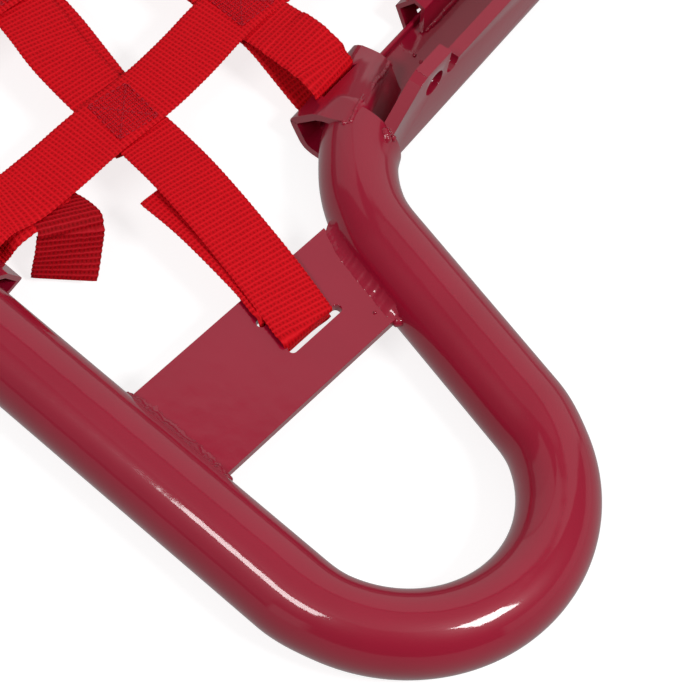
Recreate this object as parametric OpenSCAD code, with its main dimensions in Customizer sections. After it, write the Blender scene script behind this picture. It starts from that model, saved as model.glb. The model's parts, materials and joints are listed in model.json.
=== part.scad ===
// Side guard frame for a quad bike: a bent tube loop with a rounded nose at the rear,
// a cross plate in the nose, a formed rear bracket, an inner tube and sheet strap hooks,
// with a foot net of seven flat straps laced through the hooks.
// X runs along the outer rail towards the nose, Y inwards to the vehicle, Z up.
// The origin is on the ground plane, in the middle of the guard's footprint. The modules are
// written about the point below the rail axis where the nose bend starts, and moved at the end.

/* [Tube] */
// Outside diameter of the main tube
tube_d = 32; // [30:0.5:33]
// Wall thickness of the tubes
tube_wall = 2; // [1.5:0.1:3]
// Bend radius of the nose, to the tube axis
nose_r = 56.7; // [54:0.1:60]
// Turn of the nose, degrees
nose_turn = 167; // [164:1:169]
// Straight leg between the nose and the rear bend
leg_len = 80.8; // [78:0.2:84]
// Bend radius where the leg turns into the bracket
rear_bend_r = 59; // [57:0.5:61]
// Turn of the rear bend, degrees
rear_bend_turn = 52.6; // [51:0.2:54]
// Distance from the nose bend to the axis of the front leg
front_x = 482; // [481:1:500]
// Bend radius at the front corner
front_r = 56.7; // [50:0.1:57]
// Inner end of the front leg
front_end_y = 356; // [354:1:362]
// Axis of the inner tube
inner_y = 330; // [328:1:334]

/* [Cross plate] */
// Width of the plate along the rail
plate_w = 44.5; // [43:0.5:46]
// Distance from the nose bend to the plate's nose side edge
plate_x = 44; // [42:0.5:46]
// Thickness of the plate
plate_t = 4; // [3:0.5:5]
// Height of the plate's upper face
plate_top = 18; // [17:0.5:19]
// Distance from the rail axis to the middle of the plate's slots
plate_slot_y = 83.5; // [82:0.5:85]

/* [Bracket] */
// Heading of the bracket from +X, degrees
bracket_heading = 96; // [95:0.5:97]
// Length of the bracket
bracket_len = 214; // [210:1:220]
// Width of the bracket's floor
bracket_w = 34; // [33:0.5:35]
// Height of the bracket's flange
bracket_h = 35; // [33:0.5:37]
// Height of the tab's top
tab_top = 46; // [45:0.5:48]
// Thickness of the bracket
bracket_t = 5.5; // [5:0.1:6]
// Outer bend radius of the bracket
bracket_r = 9; // [8:0.5:10]
// Diameter of the bracket's bolt holes
bolt_d = 11; // [9:0.5:12]

/* [Front ear] */
// Radius of the ear's rounded end
front_ear_r = 20; // [19:0.5:21]
// Thickness of the ear
front_ear_t = 6; // [5:0.5:8]
// Diameter of the ear's two bolt holes
front_bolt_d = 9; // [8:0.5:10]
// Distance between the ear's bolt holes
front_bolt_pitch = 20; // [18:0.5:22]

/* [Hooks] */
// Length of a strap hook
hook_len = 45; // [42:0.5:48]
// Thickness of the hook sheet
hook_t = 2; // [1.5:0.1:2.5]
// Reach of a hook from the tube axis
hook_reach = 28.5; // [27:0.5:30]

/* [Net] */
// Width of the webbing
web_w = 24.6; // [24:0.1:25.4]
// Thickness of the webbing
web_t = 1.6; // [1.2:0.1:1.8]
// Upper face of the lateral straps
net_top = 24; // [23:0.5:25]
// Distance from the nose bend to the first lateral strap
strap_a_x = 175; // [173:0.5:177]
// Spacing of the lateral straps
strap_a_pitch = 74.5; // [72:0.5:76]
// Distance from the rail axis to the first lengthwise strap
strap_b_y = 100.3; // [99:0.5:102]
// Spacing of the lengthwise straps
strap_b_pitch = 73; // [72:0.5:74]
// Length of a lateral strap's loose end
tail_len = 24; // [20:1:26]
// Slope of a lateral strap's loose end, degrees below level
tail_slope = 46; // [40:1:48]
// Heading of a lateral strap's loose end, degrees from +X
tail_heading = -41; // [-45:1:-38]
// Length of the first lengthwise strap's loose end
b1_tail_len = 51; // [40:1:52]

/* [Hidden] */
$fn = 64;

paint = [0.62, 0.12, 0.20];
webbing = [0.80, 0.06, 0.10];
plastic = [0.06, 0.06, 0.06];

tube_r = tube_d / 2;
gap = 0.1;              // root gap left for each weld
slack = 0.3;            // clearance between two layers of webbing
band = 1;               // length of the band that ties a bend to a straight

// steps of the main tube: straight length, bend radius, bend turn (left is positive)
main_steps = [
    [front_end_y - front_r, front_r, 90],
    [front_x - front_r, nose_r, nose_turn],
    [leg_len, rear_bend_r, -rear_bend_turn]
];

// end of the main tube, from the same steps
leg_start = [nose_r * sin(nose_turn), nose_r * (1 - cos(nose_turn))];
leg_end = leg_start + leg_len * [cos(nose_turn), sin(nose_turn)];
rear_centre = leg_end + rear_bend_r * [sin(nose_turn), -cos(nose_turn)];
end_heading = nose_turn - rear_bend_turn;
tube_end = rear_centre - rear_bend_r * [sin(end_heading), -cos(end_heading)];

// the bracket's outer face passes this far to the nose side of the tube's end
bracket_shift = 12.5;
across = [sin(bracket_heading), -cos(bracket_heading)];
bracket_origin = tube_end + bracket_shift * across;

// along the bracket from the tube's end: the flange, its tab and its bolt holes
flange_start = -2.3;
flange_lead = 4;                    // the section starts this far before the slanted edge
tab_start = 14.7;
tab_end = 33;
notch_r = 4;
tab_hole_at = [24, 35.5];
rear_holes = [[150, 20], [195, 20]];
lip_w = 2;
lip_h = 8.5;

slot_w = 3.6;
slot_len = web_w + 3;
slot_in = 19;                       // from a hook's axis line to its upper slot
strap_in = slot_in + 1;             // and to the strap's turned-down end
bracket_strap_in = slot_in + 1.5;   // the same in a bracket hook, clear of the bracket's lip
hook_corner = [hook_reach - 2, -4]; // the sheet's outer corner, from the axis line
tube_hook_lower_slot = slot_in - 0.6;
bracket_hook_lower_slot = slot_in + 2.2;
hook_line = -14;                    // the hooks' axis line in the bracket's frame
bracket_hook_at = [13, 87];
b_y = [for (i = [0:2]) strap_b_y + i * strap_b_pitch];
b1_turn = 12.7;                     // inward shift of the first lengthwise strap per cross
b1_front_y = b_y[0] + b1_turn + 4;
b1_run_out = 50;                    // from its second cross to its last turn
b1_drop = 8.5;                      // turned-down length in the cross plate's slot
b1_slot_play = 0.8;                 // from the slot's middle to that turned-down end
front_hook_y = [b1_front_y, b_y[1], b_y[2]];
a_x = [for (i = [0:3]) -strap_a_x - i * strap_a_pitch];
b_top = net_top - web_t - slack;
leg_drop = 20;                      // turned-down length of a lateral strap's end
long_drop = 13;                     // and of a lengthwise strap's end
plate_slots = [17.8, 33];           // from the plate's nose side edge to each slot
tail_fold = [19.4, 54.5, 19];       // top of a loose end, from its strap's foot on the rail axis
fold_d = 2.2;                       // diameter of the rolled fold that a loose end starts with
b1_tail_gap = 1.5;                  // from the cross plate's edge to the middle of that fold
b1_tail_heading = 176;
ear_out = 36;                       // from the front leg's axis to the middle of the ear's end

// middle of the footprint: the ear's end and the nose in X, the rail and the bracket's end in Y
bracket_end = flange_start - flange_lead + bracket_len;
footprint_mid = [
    (nose_r + tube_r - front_x - ear_out - front_ear_r) / 2,
    (bracket_origin[1] + bracket_end * sin(bracket_heading) - tube_r) / 2
];

// ---------------------------------------------------------------- tube helpers

// one bend starting at the origin along +X, turning left
module left_bend(radius, turn, r_out, r_in) {
    translate([0, radius, 0])
        rotate([0, 0, -90])
            rotate_extrude(angle = turn)
                translate([radius, 0])
                    ring(r_out, r_in);
}

module ring(r_out, r_in) {
    difference() {
        circle(r = r_out);
        if (r_in > 0) circle(r = r_in);
    }
}

// straights and bends one after another, starting at the origin along +X
module tube_run(steps, r_out, r_in, i = 0) {
    step = steps[i];
    turn = abs(step[2]);
    side = step[2] < 0 ? -1 : 1;
    rotate([90, 0, 90])
        linear_extrude(step[0])
            ring(r_out, r_in);
    translate([step[0], 0, 0]) {
        mirror([0, side < 0 ? 1 : 0, 0])
            left_bend(step[1], turn, r_out, r_in);
        if (i + 1 < len(steps))
            translate([step[1] * sin(turn), side * step[1] * (1 - cos(turn)), 0])
                rotate([0, 0, step[2]]) {
                    joint_band(r_out, r_in);
                    tube_run(steps, r_out, r_in, i + 1);
                }
    }
}

// a thin band inside the wall that ties a bend to the next straight
module joint_band(r_out, r_in) {
    if (r_in > 0)
        translate([-band / 2, 0, 0])
            rotate([90, 0, 90])
                linear_extrude(band)
                    ring(r_out - band / 2, r_in + band / 2);
}

module main_tube(r_out, r_in) {
    translate([-front_x, front_end_y, tube_r])
        rotate([0, 0, -90])
            tube_run(main_steps, r_out, r_in);
}

module in_bracket_frame() {
    translate([bracket_origin[0], bracket_origin[1], 0])
        rotate([0, 0, bracket_heading - 90])
            children();
}

// everything past the square-cut end of the main tube
module past_tube_end() {
    in_bracket_frame()
        translate([-60, 0, -10])
            cube([80, 60, 80]);
}

// ---------------------------------------------------------------- frame parts

module outer_tube() {
    color(paint)
        difference() {
            main_tube(tube_r, tube_r - tube_wall);
            past_tube_end();
        }
}

// inner tube between the front leg and the bracket, coped to both
module inner_tube() {
    color(paint)
        difference() {
            translate([-front_x, inner_y, tube_r])
                rotate([90, 0, 90])
                    linear_extrude(front_x - 120)
                        ring(tube_r, tube_r - tube_wall);
            translate([-front_x, inner_y, tube_r])
                rotate([90, 0, 0])
                    cylinder(r = tube_r + gap, h = 200, center = true);
            in_bracket_frame()
                translate([-bracket_w - gap, 100, -10])
                    cube([100, 120, 80]);
        }
}

// plastic plug in the open end of the front leg
module front_end_plug() {
    plug_r = tube_r - tube_wall - 0.1;
    color(plastic)
        translate([-front_x, front_end_y, tube_r])
            rotate([-90, 0, 0]) {
                translate([0, 0, 0.05])
                    cylinder(r = tube_r, h = 3);
                translate([0, 0, -14])
                    difference() {
                        cylinder(r = plug_r, h = 15);
                        translate([0, 0, -1])
                            cylinder(r = plug_r - 2, h = 14);
                    }
            }
}

// rounded slot along Y through the plate
module plate_slot(x) {
    half = (slot_len - slot_w) / 2;
    for (side = [-1, 1])
        translate([x, plate_slot_y + side * half, -1])
            cylinder(d = slot_w, h = tube_d);
    translate([x - slot_w / 2, plate_slot_y - half, -1])
        cube([slot_w, 2 * half, tube_d]);
}

module cross_plate() {
    color(paint)
        difference() {
            translate([-plate_x - plate_w, 4, plate_top - plate_t])
                cube([plate_w, 150, plate_t]);
            translate([-200, 0, tube_r])
                rotate([0, 90, 0])
                    cylinder(r = tube_r + gap, h = 200);
            leg_side_cut();
            for (at = plate_slots)
                plate_slot(-plate_x - at);
        }
}

// the return leg, solid, with all that lies beyond it
module leg_side_cut() {
    translate([leg_start[0], leg_start[1], tube_r])
        rotate([0, 0, nose_turn])
            translate([-60, 0, 0]) {
                rotate([0, 90, 0])
                    cylinder(r = tube_r + gap, h = 200);
                translate([0, -100, -20])
                    cube([200, 100, 40]);
            }
}

// the bracket's section: X to the nose, Y up, outer face on X = 0
module bracket_section() {
    inner_r = 3;
    difference() {
        union() {
            translate([-bracket_w, 0])
                square([bracket_w, bracket_t]);
            translate([-bracket_t, 0])
                square([bracket_t, tab_top]);
            translate([-bracket_w, 0])
                square([lip_w, lip_h - lip_w / 2]);
            translate([-bracket_w + lip_w / 2, lip_h - lip_w / 2])
                circle(d = lip_w);
            translate([-bracket_t - inner_r, bracket_t])
                difference() {
                    square(inner_r);
                    translate([0, inner_r])
                        circle(r = inner_r);
                }
        }
        translate([-bracket_r, -1])
            difference() {
                square([bracket_r + 1, bracket_r + 1]);
                translate([0, bracket_r + 1])
                    circle(r = bracket_r);
            }
    }
}

// side view of what the flange loses: the slanted start and all above its top
module flange_cutter() {
    slant = tab_start - flange_start;
    translate([10, 0, 0])
        rotate([90, 0, -90])
            linear_extrude(40)
                mirror([1, 0]) {
                    polygon([
                        [flange_start - 20, tab_top - slant - 20],
                        [flange_start, tab_top - slant],
                        [tab_start - 2, tab_top - 2],
                        [tab_start + 2, tab_top - 0.2],
                        [tab_start + 2, tab_top + 20],
                        [flange_start - 20, tab_top + 20]
                    ]);
                    translate([tab_end, bracket_h])
                        square([bracket_len, 30]);
                    translate([tab_end + notch_r, bracket_h])
                        circle(r = notch_r);
                }
}

module bracket_hole(at) {
    translate([-20, at[0], at[1]])
        rotate([0, 90, 0])
            cylinder(d = bolt_d, h = 40);
}

module rear_bracket() {
    color(paint)
        difference() {
            in_bracket_frame()
                difference() {
                    translate([0, flange_start - flange_lead, 0])
                        rotate([90, 0, 180])
                            mirror([1, 0, 0])
                                linear_extrude(bracket_len)
                                    bracket_section();
                    // floor and lower flange start at the tube's end
                    translate([-60, -30 + gap, -5])
                        cube([80, 30, 20]);
                    flange_cutter();
                    bracket_hole(tab_hole_at);
                    for (at = rear_holes)
                        bracket_hole(at);
                }
            difference() {
                main_tube(tube_r + gap, 0);
                in_bracket_frame()
                    translate([-60, gap, -10])
                        cube([80, 60, 80]);
            }
        }
}

// flat ear welded to the side of the front leg, with two bolt holes
module front_bracket() {
    ear = [-front_x - ear_out, front_end_y - 22, tube_r - front_ear_t / 2];
    color(paint)
        difference() {
            translate(ear) {
                cylinder(r = front_ear_r, h = front_ear_t);
                translate([0, -front_ear_r, 0])
                    cube([30, 2 * front_ear_r, front_ear_t]);
            }
            translate([-front_x, front_end_y - 100, tube_r])
                rotate([-90, 0, 0])
                    cylinder(r = tube_r + gap, h = 200);
            for (side = [-1, 1])
                translate([ear[0] - 2, ear[1] + side * front_bolt_pitch / 2, 0])
                    cylinder(d = front_bolt_d, h = tube_d);
        }
}

// ---------------------------------------------------------------- strap hooks

// a sheet strip between two points of a section
module strip(a, b) {
    d = b - a;
    translate(a)
        rotate(atan2(d[1], d[0])) {
            translate([0, -hook_t / 2])
                square([norm(d), hook_t]);
            circle(d = hook_t, $fn = 24);
            translate([norm(d), 0])
                circle(d = hook_t, $fn = 24);
        }
}

// a sheet bent at each point of a path
module bent_sheet(path) {
    for (i = [0:len(path) - 2])
        strip(path[i], path[i + 1]);
}

// hook section about a tube axis, X away from the tube and Y up:
// upper foot on the tube, shoulder, outer corner, lower foot on the tube
module tube_hook_section() {
    bent_sheet([[8, 13.5], [20, 5], hook_corner, [7, -13.2]]);
}

// hook section that stands on the bracket's floor and closes on its lower edge:
// foot on the floor, upper bend, shoulder, outer corner, foot on the edge
module lip_hook_section() {
    bent_sheet([[14.2, -9], [15.5, 3], [20, 4.5], hook_corner, [20.3, -15]]);
}

// slots through the upper and the lower wall of a hook
module hook_slots(lower_in) {
    translate([-slot_len / 2, slot_in, -2])
        cube([slot_len, slot_w, 30]);
    translate([-slot_len / 2, lower_in, -30])
        cube([slot_len, slot_w, 27]);
}

// one hook beside a tube whose axis is the X axis; the hook reaches to +Y
module tube_hook() {
    color(paint)
        difference() {
            rotate([90, 0, 90])
                linear_extrude(hook_len, center = true)
                    tube_hook_section();
            rotate([0, 90, 0])
                cylinder(r = tube_r + gap, h = 2 * hook_len, center = true);
            hook_slots(tube_hook_lower_slot);
        }
}

module rail_hook(i) {
    translate([a_x[i], 0, tube_r])
        tube_hook();
}

module inner_hook(i) {
    translate([a_x[i], inner_y, tube_r])
        rotate([0, 0, 180])
            tube_hook();
}

module front_hook(i) {
    translate([-front_x, front_hook_y[i], tube_r])
        rotate([0, 0, -90])
            tube_hook();
}

module bracket_hook(i) {
    color(paint)
        difference() {
            in_bracket_frame()
                translate([hook_line, bracket_hook_at[i], tube_r])
                    rotate([0, 0, 90]) {
                        difference() {
                            rotate([90, 0, 90])
                                linear_extrude(hook_len, center = true)
                                    lip_hook_section();
                            hook_slots(bracket_hook_lower_slot);
                        }
                        if (i == 0) gusset();
                    }
            main_tube(tube_r + gap, 0);
            in_bracket_frame() {
                translate([-bracket_w - gap, -30, -1])
                    cube([80, 280, bracket_t + 1 + gap]);
                translate([-bracket_w - gap, -30, -1])
                    cube([lip_w + 2 * gap, 280, lip_h + 1 + gap]);
            }
        }
}

// skin from the first bracket hook's upper wall up to the tube and down to the floor
module gusset() {
    half = hook_len / 2;
    corners = [[-half + 1, 15.5, 4], [-half + 1, 9, 13.5], [half - 1, 14.2, -8], [half - 1, 15.5, 3]];
    hull()
        for (at = corners)
            translate(at)
                sphere(d = hook_t, $fn = 16);
}

// ---------------------------------------------------------------- foot net

// a lateral strap lies along Y, its ends turned down into a rail hook and an inner hook
module strap_a(i) {
    len = inner_y - 2 * strap_in;
    color(webbing)
        translate([a_x[i] - web_w / 2, strap_in, net_top]) {
            translate([0, 0, -web_t])
                cube([web_w, len, web_t]);
            for (y = [0, len - web_t])
                translate([0, y, -leg_drop])
                    cube([web_w, web_t, leg_drop]);
        }
}

// where the turned-down end of a lengthwise strap lies in its bracket hook, at a distance
// from the rail: the hooks stand at the bracket's angle, so the end is cut at that angle
function bracket_strap_x(y) =
    bracket_origin[0] + (hook_line - bracket_strap_in) / sin(bracket_heading)
    + (y - bracket_origin[1]) / tan(bracket_heading);

module strap_b(i) {
    low = b_y[i] - web_w / 2;
    high = b_y[i] + web_w / 2;
    end_x = -front_x + strap_in;
    color(webbing) {
        translate([0, 0, b_top - web_t])
            linear_extrude(web_t)
                polygon([
                    [end_x, low],
                    [bracket_strap_x(low), low],
                    [bracket_strap_x(high), high],
                    [end_x, high]
                ]);
        turned_end([bracket_strap_x(b_y[i]), b_y[i]], bracket_heading + 90, long_drop);
        turned_end([end_x, b_y[i]], 0, long_drop);
    }
}

function unit(v) = v / norm(v);

// one edge of a band of webbing along a path, mitred where the path turns
function band_edge(path, side) = [
    for (i = [0:len(path) - 1])
        let (
            last = len(path) - 1,
            come = unit(path[max(i, 1)] - path[max(i, 1) - 1]),
            go = unit(path[min(i, last - 1) + 1] - path[min(i, last - 1)]),
            mid = unit(come + go)
        )
        path[i] + side * web_w / 2 / (mid * go) * [-mid[1], mid[0]]
];

function reversed(list) = [for (i = [len(list) - 1:-1:0]) list[i]];

// the end of a band of webbing, turned straight down
module turned_end(at, heading, drop) {
    inset = 0.2;
    translate([at[0], at[1], b_top - drop])
        rotate([0, 0, heading])
            translate([inset, -web_w / 2 + inset, 0])
                cube([web_t - inset, web_w - 2 * inset, drop - inset]);
}

// the first lengthwise strap starts in the cross plate's slots and turns at its first two crosses
module strap_b1() {
    path = [
        [-plate_x - plate_slots[0] + b1_slot_play, plate_slot_y],
        [-plate_x - plate_w, plate_slot_y + 1],
        [a_x[0], b_y[0]],
        [a_x[1], b_y[0] + b1_turn],
        [a_x[1] - b1_run_out, b1_front_y],
        [-front_x + strap_in, b1_front_y]
    ];
    first = path[1] - path[0];
    color(webbing) {
        translate([0, 0, b_top - web_t])
            linear_extrude(web_t)
                polygon(concat(band_edge(path, 1), reversed(band_edge(path, -1))));
        turned_end(path[0], atan2(first[1], first[0]), b1_drop);
        turned_end(path[5], 0, long_drop);
    }
}

// a loose end of webbing from its rolled fold, lying along X
module loose_end(len) {
    rotate([90, 0, 0])
        cylinder(d = fold_d, h = web_w, center = true);
    translate([0, -web_w / 2, -web_t / 2])
        cube([len, web_w, web_t]);
}

// loose end of a lateral strap, sloping down from the fold beside the strap
module tail_a(i) {
    color(webbing)
        translate([a_x[i] + tail_fold[0], tail_fold[1], tail_fold[2]])
            rotate([0, tail_slope, tail_heading])
                loose_end(tail_len);
}

// loose end of the first lengthwise strap, below it beyond the cross plate
module tail_b1() {
    color(webbing)
        translate([-plate_x - plate_w - b1_tail_gap, plate_slot_y + 2, plate_top + slack + web_t / 2])
            rotate([0, 0, b1_tail_heading])
                loose_end(b1_tail_len);
}

// moves the guard so that the origin is in the middle of its footprint
module placed() {
    translate([-footprint_mid[0], -footprint_mid[1], 0])
        children();
}

placed() outer_tube();
placed() inner_tube();
placed() front_end_plug();
placed() cross_plate();
placed() rear_bracket();
placed() front_bracket();
placed() rail_hook(0);  // rail_hook_1
placed() rail_hook(1);  // rail_hook_2
placed() rail_hook(2);  // rail_hook_3
placed() rail_hook(3);  // rail_hook_4
placed() inner_hook(0);  // inner_hook_1
placed() inner_hook(1);  // inner_hook_2
placed() inner_hook(2);  // inner_hook_3
placed() inner_hook(3);  // inner_hook_4
placed() bracket_hook(0);  // bracket_hook_1
placed() bracket_hook(1);  // bracket_hook_2
placed() front_hook(0);  // front_hook_1
placed() front_hook(1);  // front_hook_2
placed() front_hook(2);  // front_hook_3
placed() strap_a(0);  // strap_a1
placed() strap_a(1);  // strap_a2
placed() strap_a(2);  // strap_a3
placed() strap_a(3);  // strap_a4
placed() strap_b1();
placed() strap_b(1);  // strap_b2
placed() strap_b(2);  // strap_b3
placed() tail_a(0);  // tail_a1
placed() tail_a(1);  // tail_a2
placed() tail_a(2);  // tail_a3
placed() tail_a(3);  // tail_a4
placed() tail_b1();
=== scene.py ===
"""Looks of the quad bike side guard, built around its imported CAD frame.

Lengths are millimetres about the datum until they are handed to Blender. The datum is the point on
the ground below the outer rail's axis where the nose bend starts; X runs to the nose, Y inwards.
"""
import json
import math
import random

import bmesh
import bpy
import numpy as np
from mathutils import Matrix, Vector


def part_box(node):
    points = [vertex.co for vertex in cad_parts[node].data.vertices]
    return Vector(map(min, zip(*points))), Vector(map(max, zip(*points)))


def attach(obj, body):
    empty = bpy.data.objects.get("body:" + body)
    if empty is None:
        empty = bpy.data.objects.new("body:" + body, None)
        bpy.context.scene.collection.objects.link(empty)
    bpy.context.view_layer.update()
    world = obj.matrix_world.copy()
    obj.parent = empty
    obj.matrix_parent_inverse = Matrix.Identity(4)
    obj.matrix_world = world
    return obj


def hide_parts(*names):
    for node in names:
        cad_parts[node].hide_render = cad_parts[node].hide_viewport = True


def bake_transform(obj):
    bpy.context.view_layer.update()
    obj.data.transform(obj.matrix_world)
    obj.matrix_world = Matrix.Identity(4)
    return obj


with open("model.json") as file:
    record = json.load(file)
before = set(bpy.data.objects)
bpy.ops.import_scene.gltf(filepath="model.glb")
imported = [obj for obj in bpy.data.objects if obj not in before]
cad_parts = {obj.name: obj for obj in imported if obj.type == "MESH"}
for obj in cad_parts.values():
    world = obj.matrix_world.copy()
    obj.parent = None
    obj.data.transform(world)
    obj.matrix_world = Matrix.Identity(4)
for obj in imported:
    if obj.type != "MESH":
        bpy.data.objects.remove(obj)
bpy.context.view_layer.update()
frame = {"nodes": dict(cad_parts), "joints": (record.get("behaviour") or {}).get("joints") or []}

# ---------------------------------------------------------------- sizes
MM = 0.001
UP = np.array([0.0, 0.0, 1.0])

NOSE_R, NOSE_TURN = 56.7, 167.0          # nose bend: radius to the axis, turn in degrees
LEG_LEN = 80.8                           # straight leg after the nose
REAR_R, REAR_TURN = 59.0, 52.6           # bend that turns the leg into the bracket
FRONT_R = 56.7                           # front corner
TUBE_WALL = 2.0
FLATTENING = 0.062                       # how much a bend narrows the tube in its own plane

WEB_W, WEB_T = 24.6, 1.5                 # webbing
RIB, COLUMN = 2.0, 1.57                  # pitch of its cross ribs and of its lengthwise cords

HOOK_LEN = 45.0                          # a strap hook, along its tube
BRACKET_HEADING = 96.0                   # the bracket's way from the rail, in degrees
BRACKET_SHIFT = 12.5                     # from the tube's end to the bracket's outer face
BRACKET_FLOOR = 5.5                      # height of its floor's upper face
HOOK_LINE = -14.0                        # the bracket hooks' axis line
HOOK_SHEET = 3.0                         # thickness of the first bracket hook
HOOK_MID = 13.0                          # the first bracket hook's middle, along the bracket
SEAM_AT = 44                             # the seam's place in that hook's outline
SLOT_W, SLOT_LEN = 3.6, 27.6             # strap slots in the hooks and in the plate
PLATE_SLOTS = (17.8, 33.0)               # from the cross plate's nose side edge to each slot
PLATE_SLOT_Y = 83.5


def node_box(node):
    low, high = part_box(node)
    return np.array(low) / MM, np.array(high) / MM


tube_low, tube_high = node_box("outer_tube")
TUBE_R = tube_high[2] / 2
DATUM = np.array([tube_high[0] - NOSE_R - TUBE_R, tube_low[1] + TUBE_R, 0.0])


def about_datum(node):
    low, high = node_box(node)
    return low - DATUM, high - DATUM


def middle(node):
    low, high = about_datum(node)
    return (low + high) / 2


FRONT_X = -(about_datum("outer_tube")[0][0] + TUBE_R)
FRONT_END_Y = about_datum("outer_tube")[1][1]
INNER_Y = middle("inner_tube")[1]
STRAP_A_X = [middle(f"strap_a{i}")[0] for i in (1, 2, 3, 4)]
STRAP_B_Y = [middle("strap_b2")[1], middle("strap_b3")[1]]
STRAP_B_Y.insert(0, 2 * STRAP_B_Y[0] - STRAP_B_Y[1])
A_TOP = about_datum("strap_a1")[1][2]
B_TOP = about_datum("strap_b2")[1][2]
A_LEVEL, B_LEVEL = A_TOP - WEB_T / 2 - 0.1, B_TOP - WEB_T / 2 - 0.1   # the webbing's middle
LEVEL_FROM = 46.0                        # from a tube's axis, where a strap runs level
PLATE_LOW, PLATE_HIGH = about_datum("cross_plate")
BAR = [PLATE_HIGH[0] - PLATE_SLOTS[0] - SLOT_W / 2,      # plate between its slots, nose side
       PLATE_HIGH[0] - PLATE_SLOTS[1] + SLOT_W / 2]      # and front side
UNDER_BAR = PLATE_LOW[2] - WEB_T / 2 - 0.25
FIRST_Y_FRONT = about_datum("strap_b1")[1][1] - WEB_W / 2   # first lengthwise strap at the front


def turned(heading):
    return np.array([math.cos(math.radians(heading)), math.sin(math.radians(heading)), 0.0])


ALONG, ACROSS = turned(BRACKET_HEADING), turned(BRACKET_HEADING - 90)


def in_bracket(origin, across, along, height):
    """A point of the bracket's frame: across to the nose side, along away from the rail."""
    return origin + ACROSS * across + ALONG * along + UP * height


# ---------------------------------------------------------------- mesh helpers
def metres(points):
    """Points about the datum, in the scene's coordinates."""
    return (np.asarray(points) + DATUM) * MM


def add_object(name, data):
    thing = bpy.data.objects.new(name, data)
    bpy.context.scene.collection.objects.link(thing)
    return thing


def mesh_object(name, points, faces, material, uv=None, body="guard"):
    mesh = bpy.data.meshes.new(name)
    mesh.from_pydata(metres(points).tolist(), [], faces)
    mesh.polygons.foreach_set("use_smooth", [True] * len(mesh.polygons))
    if uv is not None:
        layer = mesh.uv_layers.new(name="UVMap")
        loops = np.zeros(len(mesh.loops), np.int32)
        mesh.loops.foreach_get("vertex_index", loops)
        layer.data.foreach_set("uv", uv[loops].astype(np.float32).ravel())
    mesh.materials.append(material)
    piece = add_object(name, mesh)
    if body:
        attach(piece, body)
    return piece


def ring_faces(rings, around, closed_ends=True):
    """Quads between consecutive rings of points, with a cap on each end."""
    k = np.arange(rings - 1)[:, None] * around
    j = np.arange(around)[None, :]
    nxt = (j + 1) % around
    quads = np.stack([k + j, k + nxt, k + around + nxt, k + around + j], -1).reshape(-1, 4)
    faces = quads.tolist()
    if closed_ends:
        faces.append(list(range(around))[::-1])
        faces.append(list(range((rings - 1) * around, rings * around)))
    return faces


def unit(v):
    return v / np.linalg.norm(v, axis=-1, keepdims=True)


def distances(line):
    """Distance of each point of a line from its start."""
    return np.concatenate([[0], np.cumsum(np.linalg.norm(np.diff(line, axis=0), axis=1))])


def at_distances(values, run, s):
    """Values that go with a line's points, read at distances s along it."""
    return np.stack([np.interp(s, run, column) for column in values.T], 1)


def resampled(line, count):
    """A line's points again, spread evenly."""
    line = np.array(line, float)
    run = distances(line)
    return at_distances(line, run, np.linspace(0, run[-1], count))


def rounded(knots, step):
    """Points every `step` along a path with rounded corners. A knot is (point, across, radius)."""
    points, across = [], []
    for i, (point, side, radius) in enumerate(knots):
        point, side = np.array(point, float), np.array(side, float)
        if i in (0, len(knots) - 1) or radius == 0:
            points.append(point)
            across.append(side)
            continue
        back = np.array(knots[i - 1][0], float) - point
        ahead = np.array(knots[i + 1][0], float) - point
        cut = min(radius, 0.48 * np.linalg.norm(back), 0.48 * np.linalg.norm(ahead))
        start, end = point + unit(back) * cut, point + unit(ahead) * cut
        for t in np.linspace(0, 1, 9):
            points.append((1 - t) ** 2 * start + 2 * t * (1 - t) * point + t ** 2 * end)
            across.append(side)
    points, across = np.array(points), np.array(across)
    run = distances(points)
    s = np.linspace(0, run[-1], max(3, int(round(run[-1] / step)) + 1))
    return at_distances(points, run, s), at_distances(across, run, s), s


# ---------------------------------------------------------------- material helpers
def math_node(tree, operation, values, clamp=False):
    """Result of a math node that is fed by numbers and sockets."""
    node = tree.nodes.new("ShaderNodeMath")
    node.operation = operation
    node.use_clamp = clamp
    for socket, value in zip(node.inputs, values):
        if isinstance(value, (int, float)):
            socket.default_value = value
        else:
            tree.links.new(value, socket)
    return node.outputs[0]


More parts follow.
